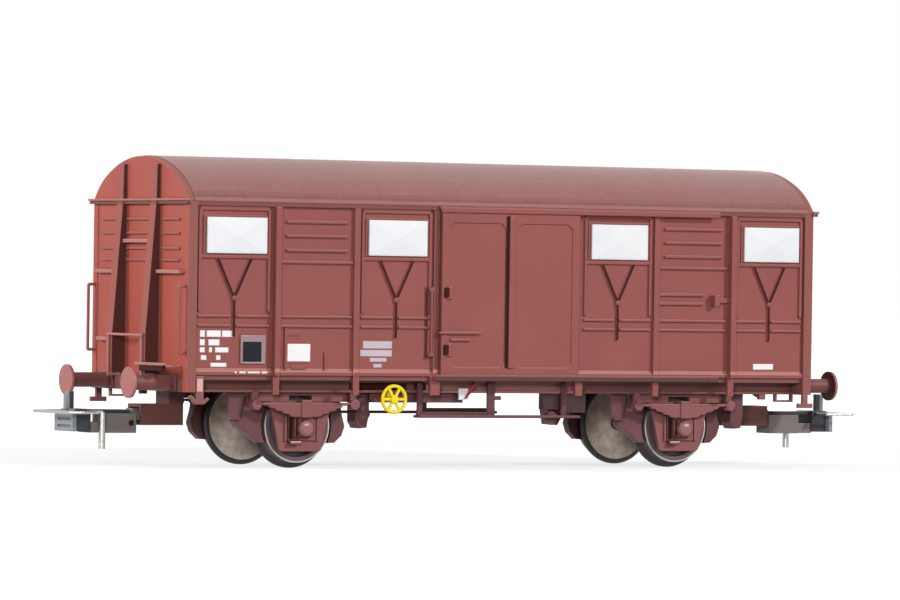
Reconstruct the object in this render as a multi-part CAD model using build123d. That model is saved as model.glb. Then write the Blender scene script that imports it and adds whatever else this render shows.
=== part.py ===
from build123d import *
import math
import os

os.makedirs("parts", exist_ok=True)

# A two-axle covered goods van for 16.5 mm track, in millimetres.
# +X runs along the track, +Z is up, the origin is under the middle of the van,
# level with the lowest point of the wheel flanges.

# Body
body_half_length = 53.7
wall_end_x = 52.4
panel_y = 14.75
wall_thickness = 0.95
post_y = 15.3
deep_post_y = 15.9
rib_y = 15.1
fine_rib_y = 15.05
brace_y = 15.05
vent_face_y = 15.3
eave_z = 38.95
cantrail_z = 38.3
wall_foot_z = 13.7
roof_half_length = 52.9
gable_end_x = 53.9
gable_inset = 0.1
roof_top_z = 45.65
roof_thickness = 0.7
crown_radius = 23.5
shoulder_radius = 11.5
crown_half_width = 11.4

# Frame and running gear
frame_foot_z = 11.2
pan_foot_z = 13.0
solebar_y = 12.3
guard_y = 10.6
guard_thickness = 0.6
axle_x = 32.75
flange_radius = 6.25
tread_radius = 5.5
wheel_inner_y = 7.2
flange_width = 0.85
wheel_width = 2.8
axle_radius = 1.0
journal_radius = 0.6
journal_end_y = 12.4
running_gap = 0.06
stanchion_x = 56.15
buffer_y = 10.05
buffer_z = 12.5
buffer_face_x = 60.8
buffer_head_radius = 2.25
buffer_shank_radius = 1.1
buffer_head_thickness = 0.45

# Doors
door_half_width = 11.85
door_inner_y = 15.4
door_skin_y = 15.75
door_face_y = 15.9
door_top_z = 38.35
door_foot_z = 13.72
track_y = 16.15
track_end_x = 36.5

# Couplings
coupling_z = 8.0
swivel_x = 51.6
swivel_radius = 0.7
pocket_end_x = 54.5
shoulder_x = 55.1
head_root_x = 62.7
head_end_x = 65.4
loop_pivot_x = 63.4
loop_wire_radius = 0.22
loop_front_x = 68.1
loop_half_width = 5.3

vent_centres = (-46.15, -19.13, 19.13, 46.15)
vent_half_width = 5.08
vent_foot_z = 31.4
vent_top_z = 36.65


def block(x0, x1, y0, y1, z0, z1):
    centre = Pos((x0 + x1) / 2, (y0 + y1) / 2, (z0 + z1) / 2)
    return centre * Box(x1 - x0, y1 - y0, z1 - z0)


def front_block(x0, x1, inner_y, outer_y, z0, z1):
    """A block on the front side, with distances from the middle line to its faces."""
    return block(x0, x1, -outer_y, -inner_y, z0, z1)


def side_profile(points, inner_y, outer_y):
    """An outline in X and Z, drawn through the front side's thickness."""
    face = make_face(Polyline(*[(x, z) for x, z in points], close=True))
    plane = Plane(origin=(0, -inner_y, 0), x_dir=(1, 0, 0), z_dir=(0, -1, 0))
    return extrude(plane * face, outer_y - inner_y)


def end_profile(points, x0, x1):
    """An outline in Y and Z, drawn along the van."""
    face = make_face(Polyline(*points, close=True))
    plane = Plane(origin=(x0, 0, 0), x_dir=(0, 1, 0), z_dir=(1, 0, 0))
    return extrude(plane * face, x1 - x0)


def rod_x(x0, x1, y, z, radius):
    return Pos((x0 + x1) / 2, y, z) * Rot(0, 90, 0) * Cylinder(radius, x1 - x0)


def rod_y(y0, y1, x, z, radius):
    return Pos(x, (y0 + y1) / 2, z) * Rot(90, 0, 0) * Cylinder(radius, y1 - y0)


def rod_z(z0, z1, x, y, radius):
    return Pos(x, y, (z0 + z1) / 2) * Cylinder(radius, z1 - z0)


def turned(part):
    """The same piece half a turn about the van's middle."""
    return Rot(0, 0, 180) * part


def save(name, part):
    export_step(part, f"parts/{name}.step")


# Roof and walls

def arch(inset, foot_z):
    """The roof's end outline, closed by a flat line at foot_z."""
    lean = math.asin(crown_half_width / crown_radius)
    crown_z = roof_top_z - crown_radius
    shoulder_y = (crown_radius - shoulder_radius) * math.sin(lean)
    shoulder_z = crown_z + (crown_radius - shoulder_radius) * math.cos(lean)
    top = crown_radius - inset
    side = shoulder_radius - inset
    low = math.acos((eave_z - shoulder_z) / side)
    middle = (lean + low) / 2

    def on_shoulder(angle):
        return (shoulder_y + side * math.sin(angle), shoulder_z + side * math.cos(angle))

    joint = on_shoulder(lean)
    halfway = on_shoulder(middle)
    eave = on_shoulder(low)
    crown = ThreePointArc((-joint[0], joint[1]), (0, crown_z + top), joint)
    right = ThreePointArc(joint, halfway, eave)
    left = ThreePointArc((-eave[0], eave[1]), (-halfway[0], halfway[1]), (-joint[0], joint[1]))
    foot = Line(eave, (-eave[0], eave[1]))
    if foot_z < eave_z:
        foot = Polyline(eave, (eave[0], foot_z), (-eave[0], foot_z), (-eave[0], eave[1]))
    return make_face([crown, right, foot, left])


def along_van(face, x0, x1):
    plane = Plane(origin=(x0, 0, 0), x_dir=(0, 1, 0), z_dir=(1, 0, 0))
    return extrude(plane * face, x1 - x0)


def roof():
    outer = along_van(arch(0, eave_z), -roof_half_length, roof_half_length)
    inner = along_van(arch(roof_thickness, eave_z), -roof_half_length, roof_half_length)
    return outer - inner


def knee(centre, half):
    """The foot of a post: a strip that hangs in front of the floor pan."""
    return front_block(centre - half, centre + half, panel_y, post_y - 0.05, 10.9, wall_foot_z + 0.1)


def brace(centre):
    """The forked strut under a vent."""
    half = 0.17
    knot_z = 24.95
    top_z = 30.7
    foot_z = 19.4
    spread = 2.75
    root = panel_y - 0.1
    stem = front_block(centre - half, centre + half, root, brace_y, foot_z, knot_z)
    knot = rod_y(-brace_y - 0.1, -root, centre, knot_z, 0.36)
    result = stem + knot
    for side in (-1, 1):
        points = [(centre - half, knot_z), (centre + half, knot_z),
                  (centre + side * spread + half, top_z), (centre + side * spread - half, top_z)]
        result += side_profile(points, root, brace_y)
    return result


def side_wall():
    wall = front_block(-wall_end_x, wall_end_x, panel_y - wall_thickness, panel_y, wall_foot_z, eave_z)
    doorway_half = 10.9
    wall -= front_block(-doorway_half, doorway_half, panel_y - 2, panel_y + 1, 15.3, 37.3)
    root = panel_y - 0.1
    wall += front_block(-wall_end_x, wall_end_x, root, post_y, cantrail_z, eave_z)
    wall += front_block(-wall_end_x, wall_end_x, root, rib_y, wall_foot_z, 14.35)
    for x, half, face_y in ((-39.3, 0.45, deep_post_y), (-25.9, 0.48, post_y), (-12.45, 0.45, post_y),
                            (25.9, 0.48, post_y), (39.3, 0.45, deep_post_y)):
        wall += front_block(x - half, x + half, root, face_y, wall_foot_z, cantrail_z)
    for x, half in ((-39.15, 0.5), (-25.8, 0.5), (-12.45, 0.8), (12.4, 0.6), (25.9, 0.5), (39.3, 0.5)):
        wall += knee(x, half)
    for centre in vent_centres:
        opening = vent_half_width - 0.5
        wall -= front_block(centre - opening, centre + opening, panel_y - 2, panel_y + 1,
                            vent_foot_z + 0.5, vent_top_z - 0.5)
        wall += front_block(centre - 5.7, centre + 5.7, root, brace_y, 37.65, cantrail_z)
        wall += front_block(centre - 5.7, centre + 5.7, root, brace_y, 30.7, 31.2)
        for side in (-1, 1):
            x = centre + side * 5.7
            wall += front_block(x - 0.2, x + 0.2, root, rib_y, 23.0, 37.65)
        wall += brace(centre)
        for z in (20.9, 22.3):
            for x0, x1 in ((centre - 5.9, centre - 0.5), (centre + 0.5, centre + 5.9)):
                wall += front_block(x0, x1, root, fine_rib_y, z - 0.17, z + 0.17)
    for centre in (-32.5, 32.5):
        for z in (36.15, 34.1, 32.0):
            wall += front_block(centre - 5.1, centre + 5.1, root, rib_y, z - 0.2, z + 0.2)
        wall += front_block(centre - 6.0, centre + 6.0, root, rib_y, 30.08, 30.48)
        for z in (20.9, 22.3):
            wall += front_block(centre - 6.0, centre + 6.0, root, fine_rib_y, z - 0.17, z + 0.17)
    for z in (24.9, 26.25):
        wall += front_block(26.3, 34.4, root, rib_y, z - 0.2, z + 0.2)
    wall += front_block(35.75, 36.6, root, 16.1, 24.6, 26.3)
    wall += front_block(36.5, 38.95, root, 15.2, 25.1, 25.8)
    return wall


def end_wall():
    outer_x = -body_half_length
    inner_x = outer_x + wall_thickness
    sheet = along_van(arch(roof_thickness, wall_foot_z), outer_x, inner_x)
    sheet = sheet & block(outer_x, inner_x, -14.1, 14.1, wall_foot_z, roof_top_z)
    gable = along_van(arch(gable_inset, eave_z), -gable_end_x, -roof_half_length)
    wall = sheet + gable
    for side in (-1, 1):
        y0, y1 = sorted((side * 14.0, side * post_y))
        wall += block(-53.85, -wall_end_x, y0, y1, frame_foot_z, eave_z - 0.05)
        root_y, tip_y = sorted((side * 4.4, side * 6.3))
        points = [(outer_x + 0.1, wall_foot_z), (-stanchion_x, wall_foot_z), (0.05 - stanchion_x, 19.5),
                  (-54.6, 38.8), (-54.5, 44.4), (outer_x + 0.1, 44.4)]
        wall += side_profile(points, -tip_y, -root_y)
    wall += block(-54.4, outer_x + 0.1, -15.7, 15.7, 38.5, eave_z)
    for z in (36.3, 34.25, 32.0, 30.3):
        for y0, y1 in ((-12.4, -7.0), (-4.6, 4.6), (7.0, 12.4)):
            wall += block(outer_x - 0.3, outer_x + 0.1, y0, y1, z - 0.17, z + 0.17)
    return wall


def vent_flaps():
    """Four flaps with a low pyramid pressed in each."""
    flaps = []
    for centre in vent_centres:
        x0 = centre - vent_half_width
        x1 = centre + vent_half_width
        flaps.append(front_block(x0, x1, panel_y, vent_face_y, vent_foot_z, vent_top_z))
    return Compound(children=flaps)


# Floor and underframe

def load_floor():
    half_width = panel_y - wall_thickness - 0.1
    return block(-52.3, 52.3, -half_width, half_width, 14.7, 15.25)


def ballast_plate():
    return block(-44, 44, -11, 11, wall_foot_z, 14.7)


def floor_pan():
    return block(-wall_end_x, wall_end_x, -panel_y, panel_y, pan_foot_z, wall_foot_z)


def solebar():
    lower = frame_foot_z + 0.35
    upper = pan_foot_z - 0.35
    web_y = 11.65
    back_y = 11.2
    points = [(-solebar_y, frame_foot_z), (-back_y, frame_foot_z), (-back_y, pan_foot_z),
              (-solebar_y, pan_foot_z), (-solebar_y, upper), (-web_y, upper), (-web_y, lower),
              (-solebar_y, lower)]
    return end_profile(points, -wall_end_x, wall_end_x)


def headstock():
    return block(-body_half_length, -wall_end_x, -13.9, 13.9, frame_foot_z, wall_foot_z)


def buffer(y):
    base = block(-54.0, -body_half_length, y - 1.9, y + 1.9, 11.3, 13.6)
    head_back_x = buffer_head_thickness - buffer_face_x
    shank = rod_x(head_back_x, -54.0, y, buffer_z, buffer_shank_radius)
    head = rod_x(-buffer_face_x, head_back_x, y, buffer_z, buffer_head_radius)
    return base + shank + head


def axle_guard():
    """The plate behind an axle box, wide at the top under the solebar, with a slot over the spring."""
    points = [(-7.9, pan_foot_z), (-7.9, 9.8), (-5.1, 9.8), (-4.8, 8.4), (-3.5, 2.8), (-3.1, 2.5),
              (3.0, 2.5), (3.4, 2.8), (4.8, 8.4), (5.1, 9.8), (7.9, 9.8), (7.9, pan_foot_z)]
    front = guard_y + guard_thickness
    plate = side_profile(points, guard_y, front)
    plate -= front_block(-2.0, 1.8, guard_y - 1, front + 1, 9.95, 10.7)
    plate -= front_block(-1.9, 1.9, guard_y - 1, front + 1, 4.6, 7.9)
    for x in (-2.65, 2.65):
        plate += front_block(x - 0.15, x + 0.15, front, front + 0.3, 4.0, 8.3)
    return plate


def axle_box():
    """A flanged box with a round cover, over the end of the axle."""
    front = guard_y + guard_thickness
    flange = front_block(-2.3, 2.3, front, front + 0.3, 4.1, 8.3)
    body = front_block(-1.5, 1.5, front + 0.3, 12.3, 4.7, 7.5)
    cover = rod_y(-13.35, -12.3, 0, 5.95, 1.2)
    cover = fillet(cover.edges().sort_by(Axis.Y)[0], 0.6)
    keeper = front_block(-2.1, -0.4, front, front + 0.9, 3.55, 4.05)
    bore = rod_y(-12.5, -front + 1, 0, flange_radius, journal_radius + running_gap)
    return flange + body + cover + keeper - bore


def leaf_spring():
    """Five flat leaves held by a buckle, with a shackle at each end."""
    result = front_block(-0.78, 0.78, 11.5, 13.0, 7.5, 10.1)
    top = 9.7
    step = 0.42
    for half in (7.5, 6.1, 5.1, 3.9, 2.7):
        points = [(-half, top), (half, top), (half, top - 0.2), (half - 0.6, top - step),
                  (0.6 - half, top - step), (-half, top - 0.2)]
        result += side_profile(points, 11.7, 12.8)
        top -= step
    for side in (-1, 1):
        result += rod_y(-12.9, -11.6, side * 8.2, 9.4, 0.75)
        x0, x1 = sorted((side * 7.75, side * 8.65))
        result += front_block(x0, x1, 11.6, 12.3, 9.4, frame_foot_z)
    return result


def pair(piece):
    return Compound(children=[Pos(-axle_x, 0, 0) * piece, Pos(axle_x, 0, 0) * piece])


def brake_shoe():
    """A block that hugs the tread on the wheel's right, hung from the floor."""
    hug = 5.85
    ends = []
    for angle in (30, 2, -26):
        a = math.radians(angle)
        ends.append((hug * math.cos(a), flange_radius + hug * math.sin(a)))
    inner = ThreePointArc(*ends)
    outer = Polyline(ends[2], (6.4, 3.75), (7.6, 4.8), (8.1, 6.2), (7.6, 8.0), (7.3, 9.9),
                     (7.3, pan_foot_z), (6.4, pan_foot_z), (6.4, 9.9), ends[0])
    plane = Plane(origin=(0, -8.3, 0), x_dir=(1, 0, 0), z_dir=(0, -1, 0))
    return extrude(plane * make_face([inner, outer]), 1.5)


def brake_side(x):
    """The brake gear on the front side of one axle: two shoes, a lever and two hangers."""
    right = brake_shoe()
    left = mirror(right, Plane.YZ)
    left += side_profile([(-6.8, 10.5), (-8.6, 10.5), (-9.2, 8.4), (-10.3, 6.9), (-9.9, 6.1), (-7.4, 4.7),
                          (-7.4, 6.2)], 8.3, 9.8)
    narrow = side_profile([(-12.0, pan_foot_z), (-9.2, pan_foot_z), (-9.2, 10.8), (-10.0, 7.1),
                           (-10.9, 7.1), (-11.9, 8.0)], 10.2, 10.9)
    wide = side_profile([(9.4, pan_foot_z), (11.6, pan_foot_z), (11.6, 8.0), (11.2, 6.0), (10.0, 5.9),
                         (9.4, 6.9)], 8.2, 10.9)
    return [Pos(x, 0, 0) * piece for piece in (right, left, narrow, wide)]


def brake_gear():
    front = brake_side(-axle_x)
    back = [turned(piece) for piece in brake_side(axle_x)]
    return Compound(children=front + back)


def step_board(has_beam):
    """The foot board under the door on three straps and, on the front, the brake beam above it."""
    board = front_block(-14.4, 13.3, solebar_y, 14.3, 7.55, 7.95)
    board += front_block(-14.0, -1.3, solebar_y, 12.65, 7.9, 8.4)
    for x, half in ((-13.5, 0.4), (-1.3, 0.62), (11.35, 0.4)):
        board += front_block(x - half, x + half, solebar_y, 12.7, 7.9, 12.9)
    board += front_block(-0.7, 0.45, solebar_y, 12.6, 10.2, 10.8)
    board += rod_y(-13.2, -solebar_y, 9.0, 7.5, 1.0)
    if not has_beam:
        return board
    beam = front_block(-21.4, -5.6, 11.0, 11.65, 9.75, frame_foot_z)
    return Compound(children=[board, beam])


def hand_wheel():
    """A six-spoked brake wheel on its shaft."""
    x = -18.8
    z = 10.3
    wheel = Torus(1.95, 0.26) + Cylinder(0.62, 0.6)
    for number in range(6):
        wheel += Rot(0, 0, 60 * number) * Pos(1.15, 0, 0) * Box(1.6, 0.42, 0.3)
    wheel = Pos(x, -14.2, z) * Rot(90, 0, 0) * wheel
    bracket = front_block(x - 0.5, x + 0.5, 11.7, solebar_y, 9.8, frame_foot_z)
    return wheel + rod_y(-14.2, -solebar_y, x, z, 0.3) + bracket


def brake_boxes():
    left = front_block(8.0, 10.75, 10.9, 12.25, 8.8, frame_foot_z)
    right = front_block(11.9, 15.4, 10.9, 12.25, 8.3, frame_foot_z)
    return Compound(children=[left, right])


def brake_plate():
    return front_block(-6.8, -5.2, solebar_y, 12.6, 10.2, 11.9)


def brake_lever():
    """A slim lever that leans across the face of the plate."""
    points = [(-5.95, 10.45), (-5.55, 10.45), (-4.0, 12.35), (-4.0, 12.8), (-4.4, 12.8)]
    return side_profile(points, 12.6, 12.9)


def corner_steps():
    """A forked step at each end of the side, and a stirrup and lug under the solebar."""
    step_y = 15.3
    near = side_profile([(-53.5, 10.6), (-53.1, 10.85), (-52.3, 10.1), (-51.1, 10.1), (-50.4, 10.5),
                         (-50.1, 10.2), (-51.0, 9.45), (-52.4, 9.45)], panel_y, step_y)
    near += front_block(-52.3, -51.1, panel_y, step_y, 10.0, 13.6)
    far = front_block(51.6, 54.2, panel_y, step_y, 9.2, 9.9)
    far += front_block(52.4, 53.3, panel_y, step_y, 9.8, frame_foot_z)
    stirrup = front_block(49.4, 52.6, 11.5, 12.2, 10.05, 10.35)
    for x in (49.55, 52.45):
        stirrup += front_block(x - 0.15, x + 0.15, 11.5, 12.2, 10.2, frame_foot_z)
    lug = front_block(46.5, 47.6, 11.5, 12.2, 10.4, frame_foot_z)
    return Compound(children=[near, far, stirrup, lug])


def corner_handle(y_side):
    y = y_side * 14.6
    x = -54.95
    bar = rod_z(16.9, 26.6, x, y, 0.22)
    for z in (16.9, 26.6):
        bar += rod_x(x, -53.85, y, z, 0.22)
    return bar


def end_step():
    """A bowed rail in front of both stanchions with a step plate on its near leg."""
    x = -56.4
    legs = (-5.75, 4.95)
    top_z = 19.35
    foot_z = 13.45
    rail = rod_y(legs[0] - 0.3, legs[1] + 0.3, x, top_z, 0.2)
    for y in legs:
        rail += rod_z(foot_z - 0.25, top_z, x, y, 0.17)
        rail += rod_x(x, -body_half_length, y, foot_z, 0.13)
    plate = block(-56.95, -56.2, -13.3, -4.5, 15.0, 15.4)
    bracket = block(-56.9, -body_half_length, -13.2, -12.9, 14.8, 15.05)
    return rail + plate + bracket


def end_rails(has_handles):
    """Flat rungs, a bowed rail with a step plate and, at one end of the van, upright handles."""
    pieces = [end_step()]
    for y0, y1, z in ((-4.35, 4.35, 33.1), (-13.9, -6.4, 28.65), (6.4, 13.4, 28.6), (7.2, 12.6, 18.6)):
        pieces.append(block(-54.6, -body_half_length, y0, y1, z - 0.27, z + 0.27))
    if has_handles:
        pieces += [corner_handle(-1), corner_handle(1)]
    return Compound(children=pieces)


def door_track():
    """The hood over the door's top edge and the angle under its foot."""
    hood = end_profile([(-post_y, 38.9), (-post_y, 38.45), (-15.98, 38.45), (-15.98, 38.0),
                        (-track_y, 38.0), (-track_y, 38.7), (-15.9, 38.9)], -12.2, track_end_x)
    rail = end_profile([(-15.25, 13.1), (-track_y, 13.1), (-track_y, 14.0), (-15.98, 14.0),
                        (-15.98, 13.62), (-15.25, 13.62)], -12.9, track_end_x)
    return Compound(children=[hood, rail])


def lock_rod():
    """An upright rod beside the door on two brackets, the upper one on the frame strip."""
    rod = rod_z(16.6, 26.9, -13.35, -15.5, 0.2)
    for z, root in ((16.9, panel_y), (26.5, rib_y)):
        rod += front_block(-13.75, -12.95, root, 15.6, z - 0.25, z + 0.25)
    return rod


# Doors

def door():
    half = door_half_width
    panel = front_block(-half, half, door_inner_y, door_face_y, door_foot_z, door_top_z)
    for side in (-1, 1):
        cut = 0.8
        inner = side * 0.95
        outer = side * 10.6
        step = side * cut
        points = [(inner, 15.1 + cut), (inner + step, 15.1), (outer - step, 15.1), (outer, 15.1 + cut),
                  (outer, 36.5 - cut), (outer - step, 36.5), (inner + step, 36.5), (inner, 36.5 - cut)]
        panel -= side_profile(points, door_skin_y, door_face_y + 1)
    panel += front_block(-0.45, 0.45, door_skin_y, 16.2, 15.0, 37.7)
    panel += front_block(-12.4, -5.2, door_skin_y, 16.25, 20.0, 20.35)
    panel += front_block(-10.4, -7.0, door_skin_y, 16.15, 19.0, 19.3)
    for z in (17.65, 26.1):
        panel += front_block(-10.95, -10.2, door_skin_y, 16.15, z - 0.95, z + 0.95)
    return panel


# Wheels

def axle():
    shaft = rod_y(-10.2, 10.2, 0, flange_radius, axle_radius)
    journals = rod_y(-journal_end_y, journal_end_y, 0, flange_radius, journal_radius)
    return Pos(-axle_x, 0, 0) * (shaft + journals)


def wheel_disc(side):
    inner = wheel_inner_y
    outer = inner + wheel_width
    outline = [(axle_radius, inner), (flange_radius - 0.35, inner), (flange_radius, inner + 0.3),
               (flange_radius, inner + flange_width - 0.2), (tread_radius, inner + flange_width),
               (tread_radius - 0.08, outer), (4.6, outer), (4.4, outer - 0.8), (1.9, outer - 0.8),
               (1.7, outer), (axle_radius, outer)]
    face = make_face(Polyline(*outline, close=True))
    wheel = revolve(Plane(origin=(0, 0, 0), x_dir=(1, 0, 0), z_dir=(0, 0, 1)) * face, Axis.Y, 360)
    if side < 0:
        wheel = mirror(wheel, Plane.XZ)
    return Pos(-axle_x, 0, flange_radius) * wheel


def wheels():
    return Compound(children=[wheel_disc(-1), wheel_disc(1)])


# Couplings

def coupler_pocket():
    """A hollow box under the headstock with the swivel pin in it."""
    outer = block(-pocket_end_x, -47.5, -2.1, 2.1, 6.1, 9.2)
    hollow = block(-pocket_end_x - 1, -48.0, -1.7, 1.7, 6.6, 8.7)
    pin = rod_z(6.1, 9.2, -swivel_x, 0, swivel_radius)
    stalk = block(-49.9, -47.5, -2.1, 2.1, 9.2, pan_foot_z)
    return outer - hollow + pin + stalk


def coupler():
    """The shank: a tongue in the pocket and a deep bar in front of it."""
    tongue = block(-shoulder_x - 0.2, -swivel_x, -1.1, 1.1, 6.75, 8.55)
    tongue += rod_z(6.75, 8.55, -swivel_x, 0, 1.1)
    tongue -= rod_z(6.0, 10.0, -swivel_x, 0, swivel_radius + running_gap)
    bar = block(-60.4, -shoulder_x, -1.9, 1.9, 4.95, 7.8)
    foot = block(-head_root_x, -60.4, -1.9, 1.9, 5.0, 6.5)
    screw = rod_y(-2.5, -1.4, -55.9, 6.4, 0.42)
    return tongue + bar + foot - screw


def coupler_head():
    """The dark head: front plate, upright hook and a cover plate over the shank."""
    head = block(-head_end_x, -head_root_x, -2.2, 2.2, 5.2, 8.45)
    head += block(-head_root_x, -56.0, -1.5, 1.5, 7.8, 8.35)
    head -= rod_y(-3, 3, -loop_pivot_x, coupling_z, loop_wire_radius + running_gap)
    front = block(-66.0, -head_end_x, -3.0, 3.0, 5.2, 8.2)
    for z in (5.95, 6.95):
        front -= block(-67.0, -65.75, -2.2, 2.0, z - 0.15, z + 0.15)
    points = [(-64.6, 8.4), (-65.9, 8.4), (-65.9, 10.5), (-65.4, 11.0), (-64.6, 11.0)]
    hook = side_profile(points, -0.4, 0.4)
    return head + front + hook


def loop():
    """A wire bow hung in the head, with a short lever and a drop pin beside the shank."""
    r = loop_wire_radius
    result = rod_y(-loop_half_width - r, loop_half_width + r, -loop_front_x, coupling_z, r)
    for side in (-1, 1):
        result += rod_x(-loop_front_x, -loop_pivot_x, side * loop_half_width, coupling_z, r)
        y0, y1 = sorted((side * 1.0, side * (loop_half_width + r)))
        result += rod_y(y0, y1, -loop_pivot_x, coupling_z, r)
    pin_x = -61.15
    pin_y = -2.8
    result += block(-loop_pivot_x, pin_x, pin_y - 0.3, pin_y + 0.3, coupling_z - r, coupling_z + r)
    result += rod_z(2.65, coupling_z, pin_x, pin_y, 0.5)
    return result


save("roof", roof())
save("load_floor", load_floor())
save("ballast_plate", ballast_plate())
save("floor_pan", floor_pan())

mirrored_pieces = ("hand_wheel",)

side_pieces = (("side_wall", side_wall()), ("vent_flaps", vent_flaps()), ("solebar", solebar()),
               ("leaf_springs", pair(leaf_spring())), ("axle_boxes", pair(axle_box())),
               ("hand_wheel", hand_wheel()), ("brake_plate", brake_plate()),
               ("brake_lever", brake_lever()), ("door", door()),
               ("corner_steps", corner_steps()), ("door_track", door_track()), ("lock_rod", lock_rod()))

for name, piece in side_pieces:
    save(f"{name}_front", piece)
    if name in mirrored_pieces:
        save(f"{name}_back", mirror(piece, Plane.XZ))
    else:
        save(f"{name}_back", turned(piece))

save("step_board_front", step_board(True))
save("step_board_back", turned(step_board(False)))
save("brake_boxes", brake_boxes())

end_pieces = (("end_wall", end_wall()), ("headstock", headstock()), ("brake_gear", brake_gear()),
              ("coupler_pocket", coupler_pocket()), ("coupler", coupler()), ("loop", loop()),
              ("coupler_head", coupler_head()), ("axle", axle()), ("wheels", wheels()))

for name, piece in end_pieces:
    save(f"{name}_left", piece)
    save(f"{name}_right", turned(piece))

save("end_rails_left", end_rails(True))
save("end_rails_right", turned(end_rails(False)))

for name, y_side in (("front", -1), ("back", 1)):
    save(f"buffer_left_{name}", buffer(y_side * buffer_y))
    save(f"buffer_right_{name}", turned(buffer(-y_side * buffer_y)))

for name, x in (("left", -axle_x), ("right", axle_x)):
    save(f"axle_guard_{name}_front", Pos(x, 0, 0) * axle_guard())
    save(f"axle_guard_{name}_back", turned(Pos(-x, 0, 0) * axle_guard()))
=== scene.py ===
import bmesh
import bpy
from math import atan2, hypot, pi
from mathutils import Matrix, Vector


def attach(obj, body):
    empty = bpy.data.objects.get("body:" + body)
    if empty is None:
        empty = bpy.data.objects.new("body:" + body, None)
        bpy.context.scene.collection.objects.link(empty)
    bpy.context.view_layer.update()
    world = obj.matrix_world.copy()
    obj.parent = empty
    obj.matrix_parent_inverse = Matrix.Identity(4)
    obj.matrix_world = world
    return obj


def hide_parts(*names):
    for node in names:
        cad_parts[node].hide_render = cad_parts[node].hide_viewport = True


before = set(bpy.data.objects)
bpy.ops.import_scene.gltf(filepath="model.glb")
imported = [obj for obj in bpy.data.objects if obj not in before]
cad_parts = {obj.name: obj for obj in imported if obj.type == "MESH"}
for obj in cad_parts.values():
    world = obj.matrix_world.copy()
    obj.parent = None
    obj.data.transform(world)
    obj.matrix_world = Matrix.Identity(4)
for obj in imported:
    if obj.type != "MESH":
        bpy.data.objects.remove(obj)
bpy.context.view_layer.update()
mm = 0.001
print("frame loaded:", len(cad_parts), "nodes")


# Materials

def toLinear(hexCode):
    # sRGB hex to the linear colour that a shader takes
    channels = [int(hexCode[i:i + 2], 16) / 255 for i in (1, 3, 5)]
    return tuple(c / 12.92 if c <= 0.04045 else ((c + 0.055) / 1.055) ** 2.4 for c in channels) + (1.0,)


def addNode(tree, kind, settings=None, inputs=None, stops=()):
    # an input given as a socket is linked, any other is set as a value; stops are place and hex colour
    node = tree.nodes.new(kind)
    for name, value in (settings or {}).items():
        setattr(node, name, value)
    for name, given in (inputs or {}).items():
        if isinstance(given, bpy.types.NodeSocket):
            tree.links.new(given, node.inputs[name])
        else:
            node.inputs[name].default_value = given
    if stops:
        for element, (position, hexCode) in zip(node.color_ramp.elements, stops):
            element.position, element.color = position, toLinear(hexCode)
    return node


def startMaterial(name):
    material = bpy.data.materials.new(name)
    material.use_nodes = True
    tree = material.node_tree
    tree.nodes.clear()
    surface = addNode(tree, "ShaderNodeOutputMaterial").inputs["Surface"]
    place = addNode(tree, "ShaderNodeTexCoord").outputs["Object"]
    return material, tree, surface, place


paintSettings = {
    # noise patterns: size in mm, detail, roughness
    "mottle": (11.0, 3.0, 0.55),     # soft change of tone over the spray coat
    "speckle": (1.3, 4.0, 0.5),      # dust gathers in specks of about this size
    "grain": (0.16, 2.0, 0.5),       # spray grain, drawn coarser than the real one so that it shows
    "grainStrength": 0.18,
    "grainDepthMm": 0.02,
    "toneFrom": 0.3,                 # the mottle runs between the look's shade and base here
    "toneTo": 0.7,
    "edgeMm": 0.16,                  # moulded edges are this round
    "edgeSamples": 4,
    "recessMm": 0.5,                 # the wash and painted shade reach this far out of a corner
    "recessSamples": 6,
    "zoneBlurMm": 0.03,
    # where each layer starts and where it is full
    "endTurned": (0.75, 0.55),       # how far an end's face looks outward
    "zoneTurned": (0.6, 0.8),        # how far a zone's face looks along its axis
    "dusty": (0.0, 1.0),
    "dustGain": 2.0,
    "edgeTurned": (0.98, 0.8),       # the rounded normal against the face's own
    "edgeShare": 0.6,                # side edges are rubbed pale, less than upper ones, which also carry a painted highlight
    "edgeLifted": (0.03, 0.3),       # the rounded normal looks up more than the face: an upper edge
    "edgeDropped": (-0.05, -0.35),   # and less: a lower edge, which gets painted shade
    "recessOpen": (0.75, 0.3),
    "sheenSpread": (-0.05, 0.07),    # the roughness varies by this about the look's own
    "ior": 1.5,
    "specular": 0.3,
}


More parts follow.
